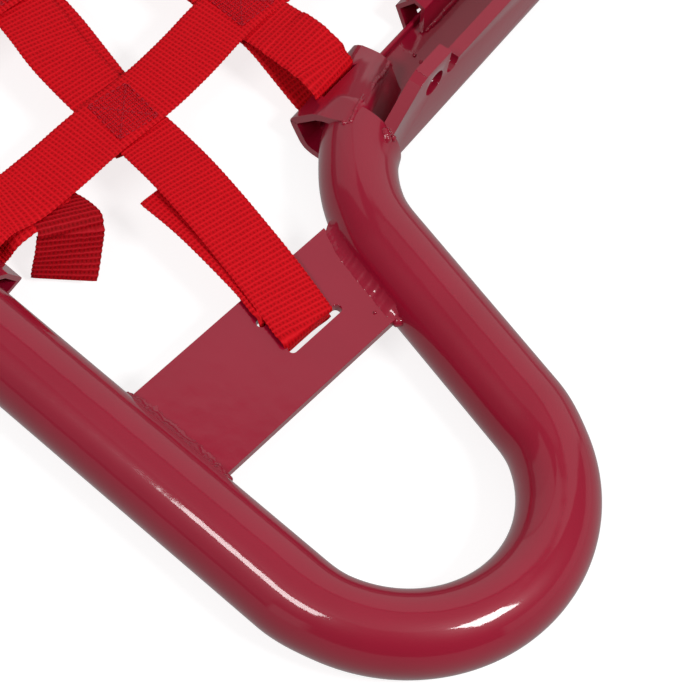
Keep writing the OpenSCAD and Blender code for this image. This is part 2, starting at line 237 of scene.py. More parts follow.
class Nodes:
    """Short-hand for building one material's node tree."""

    def __init__(self, name):
        self.material = bpy.data.materials.new(name)
        self.material.use_nodes = True
        self.tree = self.material.node_tree
        self.shader = self.tree.nodes["Principled BSDF"]

    def add(self, kind, **settings):
        node = self.tree.nodes.new(kind)
        for key, value in settings.items():
            if key in node.inputs.keys():
                node.inputs[key].default_value = value
            else:
                setattr(node, key, value)
        return node

    def link(self, source, target):
        self.tree.links.new(source, target)

    def math(self, operation, *values, clamp=False):
        return math_node(self.tree, operation, values, clamp)

    def mix(self, factor, a, b):
        node = self.tree.nodes.new("ShaderNodeMix")
        node.data_type = "RGBA"
        sockets = [node.inputs["Factor"], node.inputs[6], node.inputs[7]]
        for socket, value in zip(sockets, (factor, a, b)):
            if isinstance(value, tuple):
                socket.default_value = (*value, 1.0)
            elif isinstance(value, (int, float)):
                socket.default_value = value
            else:
                self.link(value, socket)
        return node.outputs[2]

    def noise(self, scale, detail=2.0, roughness=0.5, vector=None):
        node = self.add("ShaderNodeTexNoise", Scale=scale, Detail=detail, Roughness=roughness)
        if vector is None:
            vector = self.add("ShaderNodeTexCoord").outputs["Object"]
        self.link(vector, node.inputs["Vector"])
        return node.outputs["Fac"]

    def bump(self, height, distance, strength=1.0, normal=None):
        node = self.add("ShaderNodeBump", Strength=strength, Distance=distance)
        self.link(height, node.inputs["Height"])
        if normal is not None:
            self.link(normal, node.inputs["Normal"])
        return node.outputs["Normal"]

    def set(self, **inputs):
        for key, value in inputs.items():
            socket = self.shader.inputs[key.replace("_", " ")]
            if isinstance(value, bpy.types.NodeSocket):
                self.link(value, socket)
            elif isinstance(value, tuple):
                socket.default_value = (*value, 1.0)
            else:
                socket.default_value = value


def powder_coat(name="powder_coat"):
    """Deep red gloss coat: a little pooling of colour, and orange peel in the clear surface."""
    n = Nodes(name)
    pooling = n.noise(35.0, 3.0)
    speckle = n.noise(1500.0, 2.0)
    tone = n.mix(pooling, (0.300, 0.0018, 0.022), (0.365, 0.0030, 0.030))
    tone = n.mix(n.math("MULTIPLY", speckle, 0.25), tone, (0.24, 0.001, 0.015))
    wavy = n.bump(n.noise(120.0, 1.0), 0.00006)
    peel = n.bump(n.noise(620.0, 1.0), 0.000006, normal=wavy)
    n.set(Base_Color=tone, Roughness=0.42, Specular_IOR_Level=0.25, Normal=peel,
          Coat_Weight=1.0, Coat_Roughness=0.07, Coat_IOR=1.5)
    n.link(peel, n.shader.inputs["Coat Normal"])
    return n.material


def webbing(name, light, base, dark):
    """Plain-woven webbing. UV counts cross ribs along the strap and cords across it. Its colour has a
    painted highlight on the rib crests and painted shade in the holes of the weave.
    """
    n = Nodes(name)
    uv = n.add("ShaderNodeTexCoord").outputs["UV"]
    split = n.add("ShaderNodeSeparateXYZ")
    n.link(uv, split.inputs[0])
    u, v = split.outputs[0], split.outputs[1]
    wobble = n.math("MULTIPLY", n.math("SUBTRACT", n.noise(0.8, 2.0, vector=uv), 0.5), 0.35)
    turn = 2 * math.pi
    rib = n.math("COSINE", n.math("MULTIPLY", n.math("ADD", u, wobble), turn))
    cord = n.math("COSINE", n.math("MULTIPLY", n.math("ADD", v, wobble), turn))
    valley = n.math("MULTIPLY_ADD", rib, -0.5, 0.5)
    between = n.math("MULTIPLY_ADD", cord, -0.5, 0.5)
    hole = n.math("POWER", n.math("MULTIPLY", valley, between), 1.6, clamp=True)
    crest = n.math("POWER", n.math("MULTIPLY_ADD", rib, 0.5, 0.5), 5.0)
    stretch = n.add("ShaderNodeMapping")
    stretch.inputs["Scale"].default_value = (11.0, 2.2, 1.0)
    n.link(uv, stretch.inputs["Vector"])
    fibre = n.noise(1.0, 3.0, 0.7, vector=stretch.outputs[0])
    patch = n.noise(0.16, 2.0, vector=uv)
    tone = n.mix(patch, tuple(0.90 * x for x in base), tuple(1.08 * x for x in base))
    # Rib crests are mixed towards the light colour: a painted highlight on the rib tops.
    tone = n.mix(n.math("MULTIPLY", crest, 0.60), tone, light)
    tone = n.mix(n.math("MULTIPLY", fibre, 0.22), tone, dark)
    # The holes between ribs and cords are mixed towards the dark colour: painted shade in the weave's
    # recesses.
    tone = n.mix(n.math("MULTIPLY", hole, 0.74, clamp=True), tone, dark)
    relief = n.math("MULTIPLY_ADD", crest, 0.5, n.math("MULTIPLY", cord, 0.18))
    relief = n.math("SUBTRACT", relief, n.math("MULTIPLY", hole, 1.1))
    relief = n.math("ADD", relief, n.math("MULTIPLY", fibre, 0.35))
    n.set(Base_Color=tone, Roughness=0.62, Specular_IOR_Level=0.09,
          Normal=n.bump(relief, 0.00013))
    return n.material


def thread(name="thread"):
    n = Nodes(name)
    n.set(Base_Color=n.mix(n.noise(3000.0), (0.52, 0.016, 0.030), (0.40, 0.008, 0.018)),
          Roughness=0.6, Specular_IOR_Level=0.15, Normal=n.bump(n.noise(4000.0, 3.0), 0.00004))
    return n.material


def moulded_plastic(name="moulded_plastic"):
    n = Nodes(name)
    n.set(Base_Color=n.mix(n.noise(300.0), (0.018, 0.018, 0.019), (0.030, 0.030, 0.031)),
          Roughness=n.math("MULTIPLY_ADD", n.noise(900.0), 0.2, 0.45),
          Normal=n.bump(n.noise(2600.0, 3.0), 0.00006))
    return n.material


COAT = powder_coat()
# Webbing colours: light for the painted highlight on rib crests, base, dark for the fibre tone and the
# painted shade in the weave's holes.
WEB = webbing("webbing", (0.86, 0.010, 0.020), (0.66, 0.003, 0.009), (0.30, 0.0, 0.002))
# Darker copy of the same webbing for the hanging tails: painted shade, as the tails are the same webbing
# lying in shade.
SHADED_WEB = webbing("webbing_painted_shade", (0.66, 0.014, 0.028), (0.38, 0.0, 0.004), (0.15, 0.0, 0.001))
THREAD = thread()
PLASTIC = moulded_plastic()


# ---------------------------------------------------------------- carried-over CAD parts
def finish_cad(node, material, width=0.7):
    """A CAD part keeps its mesh; its edges are eased and it gets its real finish."""
    part = frame["nodes"][node]
    part.data.materials.clear()
    part.data.materials.append(material)
    if width:
        weld = part.modifiers.new("weld", "WELD")
        weld.merge_threshold = 0.00001
        flat = part.modifiers.new("flat", "DECIMATE")
        flat.decimate_type = "DISSOLVE"
        flat.angle_limit = math.radians(0.6)
        ease = part.modifiers.new("ease", "BEVEL")
        ease.width = width * MM
        ease.segments = 3
        ease.limit_method = "ANGLE"
        ease.angle_limit = math.radians(35)
        ease.harden_normals = True


for node in frame["nodes"]:
    if node == "front_end_plug":
        finish_cad(node, PLASTIC, 0.8)
    elif "hook" in node:
        finish_cad(node, COAT, 0.45)
    elif node in ("cross_plate", "rear_bracket", "front_bracket"):
        finish_cad(node, COAT, 0.7)
    elif node == "inner_tube":
        finish_cad(node, COAT, 0)


# ---------------------------------------------------------------- main tube
class Run:
    """The main tube's axis, from the front leg's end to the bracket, as straights and left bends."""

    def __init__(self):
        self.steps = [
            (FRONT_END_Y - FRONT_R, FRONT_R, 90.0),
            (FRONT_X - FRONT_R, NOSE_R, NOSE_TURN),
            (LEG_LEN, REAR_R, -REAR_TURN),
        ]

    def stations(self):
        """(point, heading, bend share) at close stations, and the last bend's data."""
        at, heading = np.array([-FRONT_X, FRONT_END_Y, TUBE_R]), -90.0
        out = []
        ramp = 18.0
        for length, radius, turn in self.steps:
            first = 1 if out else 0
            for f in np.linspace(0, 1, max(4, int(length / 9)) + 1)[first:-1]:
                out.append((at + turned(heading) * length * f, heading, 0.0))
            at = at + turned(heading) * length
            side = 1.0 if turn > 0 else -1.0
            centre = at + side * radius * turned(heading + 90)
            count = int(abs(turn) / 1.5)
            total = radius * math.radians(abs(turn))
            for i in range(count + 1):
                angle = turn * i / count
                place = centre - side * radius * turned(heading + 90 + angle)
                near = min(i, count - i) * total / count
                share = min(1.0, near / ramp)
                out.append((place, heading + angle, share * share * (3 - 2 * share)))
            at, heading = out[-1][0], heading + turn
        return out


def tube_skin(name, around=96):
    """The tube's skin; each of its lines is trimmed or run out to the bracket's end plane."""
    stations = Run().stations()
    phi = np.linspace(0, 2 * math.pi, around, endpoint=False)
    rings = []
    for point, heading, share in stations:
        flat = 1 - FLATTENING * share
        rings.append(point + TUBE_R * (np.outer(np.cos(phi) * flat, turned(heading + 90))
                                       + np.outer(np.sin(phi), UP)))
    rings = np.array(rings)
    last_straight = max(k for k, station in enumerate(stations) if station[2] == 0
                        and k < len(stations) - 1)
    ahead = turned(stations[-1][1])
    plane = stations[-1][0]
    past_plane = 30
    bend = np.concatenate([rings[last_straight:], rings[-1:] + ahead * past_plane])
    trimmed = np.zeros((len(bend) - 1, around, 3))
    for j in range(around):
        line = bend[:, j]
        gap = (line - plane) @ ALONG
        cut = int(np.argmax(gap > 0))
        share = -gap[cut - 1] / (gap[cut] - gap[cut - 1])
        line = np.concatenate([line[:cut], [line[cut - 1] + share * (line[cut] - line[cut - 1])]])
        trimmed[:, j] = resampled(line, len(trimmed))
    outer = np.concatenate([rings[:last_straight], trimmed])
    bore, bore_depth = 1 - TUBE_WALL / TUBE_R, 10
    ends = []
    for ring, inwards in ((outer[0], turned(-90)), (outer[-1], -ahead)):
        middle_point = ring.mean(0)
        mouth = middle_point + (ring - middle_point) * bore
        ends.append((mouth, mouth + inwards * bore_depth))
    everything = np.concatenate([ends[0][1][None], ends[0][0][None], outer, ends[1][0][None],
                                 ends[1][1][None]])
    faces = ring_faces(len(everything), around, closed_ends=True)
    skin = mesh_object(name, everything.reshape(-1, 3), faces, COAT)
    rim = skin.modifiers.new("rim", "BEVEL")
    rim.width = 0.5 * MM
    rim.segments = 2
    rim.limit_method = "ANGLE"
    rim.angle_limit = math.radians(50)
    rim.harden_normals = True
    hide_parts("outer_tube")
    return skin


tube_skin("outer_tube_skin")
TUBE_END = Run().stations()[-1][0]
BRACKET = TUBE_END * np.array([1, 1, 0]) + ACROSS * BRACKET_SHIFT


# ---------------------------------------------------------------- webbing
# places over a strap's width, as shares of half of it
HALF_PROFILE = np.concatenate([[-1.0], np.linspace(-0.975, 0.975, 21), [1.0]])


def band(name, knots, body="guard", rib=0.045, start_offset=0.0, square=True,
         material=None):
    """A strap swept along a path: ribbed faces, thin scalloped edges, melted ends."""
    points, across, s = rounded(knots, RIB / 4)
    ahead = unit(np.gradient(points, axis=0))
    side = unit(across - (across * ahead).sum(1, keepdims=True) * ahead) if square else unit(across)
    normal = unit(np.cross(ahead, side))
    wave = np.cos(2 * math.pi * (s + start_offset) / RIB)
    end_gap = np.minimum(s, s[-1] - s)
    melt = np.clip(end_gap / 1.0, 0, 1)
    thick = WEB_T / 2 * (0.75 + 0.25 * melt)
    half = WEB_W / 2 + 0.13 * wave - 0.25 * (1 - melt)
    v = HALF_PROFILE
    taper = 1 - 0.75 * np.abs(v) ** 14
    lift = thick[:, None] * taper + (rib * wave * melt)[:, None] * (1 - v ** 8)
    flat = points[:, None, :] + side[:, None, :] * (half[:, None] * v)[:, :, None]
    top = flat + normal[:, None, :] * lift[:, :, None]
    low = flat - normal[:, None, :] * lift[:, :, None]
    rings = np.concatenate([top, low[:, ::-1]], axis=1)
    around = rings.shape[1]
    u = np.repeat((s + start_offset) / RIB, around)
    vv = np.tile(np.concatenate([v, v[::-1]]) * WEB_W / 2 / COLUMN, len(s))
    faces = ring_faces(len(s), around)
    flipped = [f[::-1] for f in faces]
    return mesh_object(name, rings.reshape(-1, 3), flipped, material or WEB,
                       uv=np.stack([u, vv], 1), body=body)


TUBE_LOOP = [                            # about a tube hook's axis: (distance, height, radius)
    (34.0, 7.6, 6), (27.6, 6.4, 6), (21.7, 4.2, 4), (21.5, -3.0, 4), (20.9, -9.8, 3),
    (29.6, -6.2, 4),
]
BRACKET_LOOPS = {                        # second and third lengthwise strap
    1: [(26.6, 6.4, 5), (21.6, 3.8, 4), (21.4, -4.0, 3), (20.8, -12.8, 2.5), (30.6, -8.4, 4)],
    2: [(26.6, 6.4, 5), (21.8, 3.6, 4), (21.9, -4.0, 3), (22.6, -12.4, 2.5), (30.2, -7.5, 4)],
}


def loop_knots(origin, inward, across, loop):
    """Knots of a strap that turns round a hook's corner, from its upper to its lower layer."""
    return [(origin + inward * r + UP * z, across, bend) for r, z, bend in loop]


def sway(stations):
    """Sideways offset of a strap as a smooth function of the distance along it."""
    at, offset = [p[0] for p in stations], [p[1] for p in stations]
    return lambda y: float(np.interp(y, at, offset))


rng = random.Random(7)
A_SWAY = [sway([(20, 3.0), (46, 2.5), (68, 2.0), (88, 0.6), (100, 1.2), (120, 0.9), (142, -1.4),
                (162, -4.8), (180, -5.4), (205, -3.6), (240, -1.0), (300, 0.0)])]
for _ in range(3):
    A_SWAY.append(sway([(20, 0.0)] + [(y, rng.uniform(-1.6, 1.6)) for y in (60, 100, 140, 175, 210,
                                                                           247, 280)] + [(300, 0.0)]))
SWAY_B = [[rng.uniform(-1.0, 1.0) for _ in range(4)] for _ in range(3)]


def lateral_strap(i):
    """Strap from a rail hook over the lengthwise straps to an inner hook, with both ends tucked back."""
    x = STRAP_A_X[i]
    drift = A_SWAY[i]
    side = np.array([-1.0, 0, 0])
    top = A_LEVEL
    under = top - WEB_T - 0.5
    rail = np.array([x, 0, TUBE_R])
    inner = np.array([x, INNER_Y, TUBE_R])
    slack = np.array([4.0, 0, 0]) if i == 0 else np.array([2.5, 0, 0])
    knots = [(np.array([x - 0.5, 60.0, under - 0.6]) + slack, side, 0),
             (np.array([x, 42.0, under - 0.4]) + slack, side, 9),
             (rail + np.array([0.7 * slack[0], 34.0, 3.2]), side, 5)]
    knots += loop_knots(rail, np.array([0, 1.0, 0]), side, TUBE_LOOP)[::-1]
    for y in (LEVEL_FROM, 68, 84, 100, 118, 140, 158, 174, 196, 222, 247, INNER_Y - LEVEL_FROM):
        cross = min(abs(y - b) for b in STRAP_B_Y)
        knots.append((np.array([x + drift(y), y, top - (0.0 if cross < 8 else 0.6)]), side, 10))
    knots += loop_knots(inner, np.array([0, -1.0, 0]), side, TUBE_LOOP)
    knots += [(np.array([x, INNER_Y - LEVEL_FROM, under]), side, 9),
              (np.array([x, STRAP_B_Y[2] + 17, under]), side, 0)]
    piece = band(f"strap_a{i + 1}_webbing", knots)
    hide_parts(f"strap_a{i + 1}")
    return piece


for i in range(4):
    lateral_strap(i)


def front_hook_loop(y):
    """Place on the front tube's axis, the way into the net and a strap's width."""
    return np.array([-FRONT_X, y, TUBE_R]), np.array([1.0, 0, 0]), np.array([0, -1.0, 0])


def bracket_hook_loop(y):
    """Place on the bracket hooks' line whose slots are level with a strap; ways as above."""
    reach = HOOK_LINE - 21.9             # across the bracket, where the strap goes down
    along = (y - BRACKET[1] - ACROSS[1] * reach) / ALONG[1]
    return in_bracket(BRACKET, HOOK_LINE, along, TUBE_R), -ACROSS, -ALONG


def lengthwise_strap(i):
    """Strap from a bracket hook, arched to the first lateral strap, then level to a front hook."""
    y = STRAP_B_Y[i]
    side = np.array([0, -1.0, 0])
    tilted = np.array([0, -1.0, -0.17 if i == 1 else -0.06])
    top = B_LEVEL
    under = top - WEB_T - 0.4
    origin, inward, hook_side = bracket_hook_loop(y)
    first = STRAP_A_X[0] + A_SWAY[0](y)
    arch = 2.4 if i == 1 else 1.4
    edge = first + WEB_W / 2
    span = (origin + inward * 22)[0] - edge
    knots = [(np.array([first - 24, y, under]), side, 0),
             (np.array([edge + 3, y, under - 0.6]), side, 8)]
    knots += loop_knots(origin, inward, hook_side, BRACKET_LOOPS[i])[::-1]
    knots += [(np.array([edge + span * 0.70, y + 0.4, top + arch * 0.9]), tilted * 0.6 + hook_side * 0.4, 8),
              (np.array([edge + span * 0.42, y + 0.6, top + arch]), tilted, 10),
              (np.array([edge + span * 0.12, y + 0.3, top + arch * 0.45]), tilted * 0.5 + side * 0.5, 8),
              (np.array([edge - 5.0, y, top]), side, 5)]
    for k, x in enumerate(STRAP_A_X):
        knots.append((np.array([x + A_SWAY[k](y), y, top]), side, 8))
        knots.append((np.array([x - 36, y + SWAY_B[i][k], top - 0.6]), side, 20))
    origin, inward, side = front_hook_loop(y)
    knots = knots[:-1] + [(origin + inward * LEVEL_FROM + UP * (top - TUBE_R), side, 9)]
    knots += loop_knots(origin, inward, side, TUBE_LOOP)
    knots += [(origin + inward * LEVEL_FROM + UP * (under - TUBE_R), side, 9),
              (np.array([STRAP_A_X[3] - 18, y, under]), side, 0)]
    piece = band(f"strap_b{i + 1}_webbing", knots)
    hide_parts(f"strap_b{i + 1}")
    return piece


lengthwise_strap(1)
lengthwise_strap(2)


def first_lengthwise_strap():
    """Strap from the cross plate's two slots, turning inwards along its way to the front."""
    top = B_LEVEL
    y = PLATE_SLOT_Y - 2.0
    front_y = FIRST_Y_FRONT
    along_slot = np.array([0, -1.0, 0])
    over = PLATE_HIGH[2] + WEB_T / 2 + 0.3
    knots = [
        (np.array([sum(BAR) / 2 - 1, y + 1.2, UNDER_BAR]), along_slot, 0),
        (np.array([BAR[0] - 0.1, y, UNDER_BAR]), along_slot, 1.6),
        (np.array([BAR[0] - 0.2, y, over]), along_slot, 1.8),
    ]
    cross = STRAP_A_X[0]
    path = [
        (PLATE_LOW[0] + 1, y + 5.7, over + 2.2),
        (cross + 57, STRAP_B_Y[0] - 7.5, top + 2.6),
        (cross + 36, STRAP_B_Y[0] - 3.4, top + 2.2),
        (cross + 16, STRAP_B_Y[0] - 0.4, top + 0.2),
        (cross + 4, STRAP_B_Y[0] + 0.3, top),
        (cross - 14, STRAP_B_Y[0] + 1.2, top),
        (cross - 36, STRAP_B_Y[0] + 4.2, top - 0.3),
        (cross - 51, STRAP_B_Y[0] + 8.4, top - 0.3),
        (STRAP_A_X[1], front_y - 4.0, top),
        (STRAP_A_X[1] - 50, front_y, top),
        (-FRONT_X + LEVEL_FROM, front_y, top),
    ]
    path = [np.array(p, float) for p in path]
    for k, point in enumerate(path):
        before = path[k - 1] if k else knots[-1][0]
        after = path[min(k + 1, len(path) - 1)]
        ahead = unit((after - before) * np.array([1, 1, 0]))
        knots.append((point, np.cross(UP, ahead), 16))
    origin, inward, front_side = front_hook_loop(front_y)
    knots += loop_knots(origin, inward, front_side, TUBE_LOOP)
    under = top - WEB_T - 0.5
    knots += [(origin + inward * LEVEL_FROM + UP * (under - TUBE_R), front_side, 9),
              (np.array([STRAP_A_X[1] - 52, front_y, under]), front_side, 14)]
    end = np.array([cross + 14.8, STRAP_B_Y[0] - 1.8, under - 1.2])
    back = turned(166.0)
    side = np.cross(UP, back)
    knots += [(end + back * 76, side, 20), (end, side, 0)]
    piece = band("strap_b1_webbing", knots)
    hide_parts("strap_b1")
    return piece


first_lengthwise_strap()

JOINTS = {joint["child"]: joint for joint in frame["joints"]}


def hinge_of(tail):
    joint = JOINTS[tail]
    return np.array(joint["pos_m"]) / MM - DATUM, np.array(joint["axis"], float)


def lateral_tail(i):
    """Loose end: it leaves sideways under its strap, curls over and hangs."""
    name = f"tail_a{i + 1}"
    fold, axis = hinge_of(name)
    ahead = np.cross(axis, UP)
    if ahead[0] < 0:
        ahead = -ahead
    heading = math.degrees(math.atan2(ahead[1], ahead[0]))
    left = turned(heading + 90)
    # ahead of the fold, to its right, height, turn of the strap's width, corner radius
    shape = [(-10.7, 11.5, 0.3, 11, 0), (-3.2, 3.8, 1.6, 13, 8), (3.4, -0.6, 2.4, 13, 7),
             (7.6, 0.2, -4.2, 2, 7), (15.8, 2.8, -15.6, -13, 0)]
    knots = []
    for q, right, z, turn, bend in shape:
        tilt = UP * 0.16 * max(0.0, -z / 16)
        knots.append((fold + ahead * q - left * right + UP * z,
                      unit(turned(heading + 90 + turn) + tilt), bend))
    # The tail takes the darker webbing copy: painted shade.
    piece = band(f"{name}_webbing", knots, body=None, square=False, material=SHADED_WEB)
    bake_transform(piece)
    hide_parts(name)
    return piece


for i in range(4):
    lateral_tail(i)


def lengthwise_tail():
    """Loose end of the first lengthwise strap: up through the plate's second slot, then free."""
    fold, axis = hinge_of("tail_b1")
    y = PLATE_SLOT_Y - 0.8
    along_slot = np.array([0, -1.0, 0])
    ahead = turned(176.0)
    side = np.cross(UP, ahead)
    length = fold[0] - about_datum("tail_b1")[0][0]
    knots = [
        (np.array([sum(BAR) / 2 - 1, y, UNDER_BAR]), along_slot, 0),
        (np.array([BAR[1] - 0.9, y, UNDER_BAR]), along_slot, 1.6),
        (np.array([BAR[1] - 1.6, y, fold[2]]), along_slot, 2.0),
        (fold - ahead * 2 + UP * 0.5, side, 6),
        (fold + ahead * length * 0.33 + UP * 1.6 - side * 0.6, side, 8),
        (fold + ahead * length * 0.66 + UP * 1.8 - side * 1.0, side, 8),
        (fold + ahead * length + UP * 0.6 - side * 0.4, side, 0),
    ]
    piece = band("tail_b1_webbing", knots, body=None)
    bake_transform(piece)
    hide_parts("tail_b1")
    return piece


lengthwise_tail()


# ---------------------------------------------------------------- first bracket hook
def slot_cutter(low_r, low_z, high_z, along):
    """Upright stadium prism for one strap slot."""
    radius = SLOT_W / 2
    corners = []
    for end in (-1, 1):
        for step in range(9):
            angle = math.radians(-90 + 90 * (1 + end) + step * 22.5)
            reach = end * (SLOT_LEN / 2 - radius) + radius * math.cos(angle)
            corners.append((radius * math.sin(angle), reach))
    hull = sorted(corners, key=lambda c: math.atan2(c[1], c[0]))
    rings = [[in_bracket(BRACKET, HOOK_LINE - low_r - radius + c[0], along + c[1], z)
              for c in hull] for z in (low_z, high_z)]
    mesh = bpy.data.meshes.new("slot_cutter")
    mesh.from_pydata(metres(np.array(rings).reshape(-1, 3)).tolist(), [], ring_faces(2, len(hull)))
    mesh.update()
    return add_object("slot_cutter", mesh)


def hook_outline(at):
    """Outer face of the first bracket hook's section at a place along the bracket, as (reach
    from the hook's line, height): from the foot over the top to the seam, then down the skirt."""
    foot = [(11, 0.5), (14.9, 0.7), (17.9, 1.5), (20.3, 3.4), (25.4, 10.4), (26.3, 12.6),
            (25.0, 14.9), (22.1, 18.0), (17.5, 23.1)]
    over_tube = foot + [(14.8, 24.9), (12.9, 25.8), (9.6, 27.0), (6.5, 28.8), (3.8, 30.3), (1.2, 30.9)]
    over_rim = foot + [(15.0, 26.2), (12.5, 28.2), (9.6, 29.8), (6.0, 31.4), (3.2, 32.1)]
    far_end = [(19.5, 1.0), (22.5, 4.5), (27.2, 9.6), (28.6, 11.6), (27.8, 13.8), (26.1, 15.5),
               (24.1, 16.7), (20, 17.7), (15.9, 18.4), (13.3, 17.8), (11.4, 16.6)]
    inside_tube = [(1.2, 30.9), (-1.0, 30.2), (-2.6, 28.6), (-3.4, 26.0), (-3.4, 20.0), (-2.6, 6.4)]
    steep = [(3.2, 32.1), (1.0, 31.6), (-0.6, 29.8), (-1.6, 27.0), (-3.4, 18.0), (-5.6, 5.6)]
    sloping = [(11.4, 16.6), (10.0, 15.0), (8.2, 12.2), (6.4, 9.0), (4.8, 6.6), (3.8, 5.6)]
    start = HOOK_MID - HOOK_LEN / 2
    sections = [np.concatenate([resampled(top, SEAM_AT + 1), resampled(skirt, 20)[1:]])
                for top, skirt in ((over_tube, inside_tube), (over_rim, steep), (far_end, sloping))]
    knots = (start, 1.0, start + HOOK_LEN)
    part = float(np.interp(at, knots, (0, 1, 2)))
    first = min(int(part), 1)
    return sections[first] + (part - first) * (sections[first + 1] - sections[first])


def first_bracket_hook():
    """Bent sheet that lies over the tube's end and slopes down to the bracket's floor."""
    start = HOOK_MID - HOOK_LEN / 2
    rings = []
    for at in np.linspace(start, start + HOOK_LEN, 37):
        outer = hook_outline(at)
        count = len(outer)
        ahead = unit(np.gradient(outer, axis=0))
        inner = outer - HOOK_SHEET * np.stack([ahead[:, 1], -ahead[:, 0]], 1)
        section = np.concatenate([outer, inner[::-1]])
        rings.append([in_bracket(BRACKET, HOOK_LINE - r, at, z) for r, z in section])
    rings = np.array(rings)
    around = rings.shape[1]
    quads = ring_faces(len(rings), around, closed_ends=False)
    last = (len(rings) - 1) * around
    for m in range(count - 1):
        a, b, c, d = m, m + 1, around - 2 - m, around - 1 - m
        quads.append([a, b, c, d][::-1])
        quads.append([last + a, last + b, last + c, last + d])
    mesh = bpy.data.meshes.new("bracket_hook_1_sheet")
    mesh.from_pydata(metres(rings.reshape(-1, 3)).tolist(), [], quads)
    shell = bmesh.new()
    shell.from_mesh(mesh)
    bmesh.ops.recalc_face_normals(shell, faces=shell.faces)
    shell.to_mesh(mesh)
    shell.free()
    sheet = add_object("sheet_blank", mesh)
    cutters = [slot_cutter(19.4, 10, 40, HOOK_MID), slot_cutter(19.0, -10, 12, HOOK_MID)]
    for cutter in cutters:
        cut = sheet.modifiers.new("slot", "BOOLEAN")
        cut.operation = "DIFFERENCE"
        cut.solver = "EXACT"
        cut.use_self = True
        cut.object = cutter
    bpy.context.view_layer.update()
    ready = sheet.evaluated_get(bpy.context.evaluated_depsgraph_get())
    final = bpy.data.meshes.new_from_object(ready)
    for spare in [sheet] + cutters:
        bpy.data.objects.remove(spare, do_unlink=True)
    final.materials.clear()
    final.materials.append(COAT)
    final.polygons.foreach_set("use_smooth", [True] * len(final.polygons))
    final.set_sharp_from_angle(angle=math.radians(38))
    hook = add_object("bracket_hook_1_sheet", final)
    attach(hook, "guard")
    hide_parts("bracket_hook_1")


first_bracket_hook()


# ---------------------------------------------------------------- weld beads
def beads(name, runs, seed, ripple=1.7, rough=1.0):
    """Lumpy beads. Each run is (points, radius)."""
    dice = np.random.default_rng(seed)
    around = 20
    phi = np.linspace(0, 2 * math.pi, around, endpoint=False)
    all_points, all_faces, base = [], [], 0
    for points, radius in runs:
        points = np.array(points, float)
        length = distances(points)[-1]
        count = max(8, int(length / 0.45))
        line = resampled(points, count)
        wander = np.cumsum(dice.normal(0, 0.12, (count, 3)), axis=0)
        wander -= np.linspace(0, 1, count)[:, None] * wander[-1]
        line = line + wander * min(1.0, radius / 1.6)
        ahead = unit(np.gradient(line, axis=0))
        side = unit(np.cross(ahead, UP + 0.013))     # the shift keeps upright runs defined
        up = np.cross(side, ahead)
        s = np.linspace(0, length, count)
        lump = 1 + 0.12 * rough * np.abs(np.sin(math.pi * s / ripple + dice.uniform(0, 3)))
        patches = np.arange(0, length + 4, 2.6)
        lump += np.interp(s, patches, dice.normal(0, 0.09 * rough, len(patches)))
        ends = np.sqrt(np.clip(np.minimum(s, length - s) / radius, 0.02, 1))
        reach = radius * lump * ends
        ring = (np.cos(phi)[None, :, None] * side[:, None, :]
                + np.sin(phi)[None, :, None] * up[:, None, :]) * reach[:, None, None]
        all_points.append((line[:, None, :] + ring).reshape(-1, 3))
        all_faces += [[v + base for v in f] for f in ring_faces(count, around)]
        base += count * around
    return mesh_object(name, np.concatenate(all_points), all_faces, COAT)


def beside_leg(height, x_from, x_to, reach=0.4):
    """Points along the return leg's rail side at a height, between two X."""
    out = []
    for point, heading, share in Run().stations():
        if abs(heading - 167) > 53 or point[1] < 60:
            continue
        drop = math.sqrt(TUBE_R ** 2 - (height - TUBE_R) ** 2) * (1 - FLATTENING * share) + reach
        spot = point + turned(heading + 90) * drop
        spot[2] = height
        if x_to <= spot[0] <= x_from:
            out.append(spot)
    return out


def fillet(name, roots, toes, tops, seed, rough=1.0):
    """Broad uneven weld in a corner: a hollow face from the plate's toe line up to the tube."""
    dice = np.random.default_rng(seed)
    length = distances(np.array(roots))[-1]
    count = int(length / 0.4)
    root, toe, top = (resampled(line, count) for line in (roots, toes, tops))
    s = np.linspace(0, length, count)
    taper = np.clip(np.minimum(s, length - s) / 4.0, 0.02, 1) ** 0.5

    def uneven(size, step):
        marks = np.arange(0, length + 2 * step, step)
        return 1 + rough * np.interp(s, marks, dice.normal(0, size, len(marks)))

    spread = (uneven(0.10, 1.1) * uneven(0.10, 4.0) * taper)[:, None]
    climb = (uneven(0.08, 1.6) * taper)[:, None]
    toe = root + (toe - root) * spread
    top = root + (top - root) * climb
    hollow = root + ((toe - root) + (top - root)) * 0.16 * uneven(0.5, 1.5)[:, None]
    face = [(1 - t) ** 2 * toe + 2 * t * (1 - t) * hollow + t * t * top for t in np.linspace(0, 1, 9)]
    buried = [top - UP * 0.6 + (root - toe) * 0.5, toe - UP * 0.8]
    rings = np.stack(face + buried, 1)
    mesh_object(name, rings.reshape(-1, 3), ring_faces(count, rings.shape[1]), COAT)


def at_height(line, height, shift=0.0):
    return [np.array([x, y + shift, height]) for x, y in line]


plate_x = (PLATE_LOW[0], PLATE_HIGH[0])
plate_top, plate_bottom = PLATE_HIGH[2], PLATE_LOW[2]
CLIMB = 5.0                              # how far the plate's welds reach up the tubes
SPREAD = 3.9                             # and out over the plate
sink = TUBE_R - math.sqrt(TUBE_R ** 2 - (plate_top + CLIMB - TUBE_R) ** 2)
plate_ends = (plate_x[0] - 0.8, plate_x[1] + 0.8)
along_rail = [(x, TUBE_R - 0.4) for x in np.linspace(*plate_ends, 12)]
fillet("weld_plate_rail", at_height(along_rail, plate_top - 0.1),
       at_height(along_rail, plate_top - 0.1, SPREAD),
       at_height(along_rail, plate_top + CLIMB, 0.2 - sink), 3)


def leg_side(height, reach):
    """Beside the return leg over the plate's width, one point every few millimetres of X."""
    beside = np.array(sorted(beside_leg(height, plate_x[1] + 40, plate_x[0] - 40, reach),
                             key=lambda spot: spot[0]))
    return [(x, np.interp(x, beside[:, 0], beside[:, 1]), height) for x in np.linspace(*plate_ends, 14)]


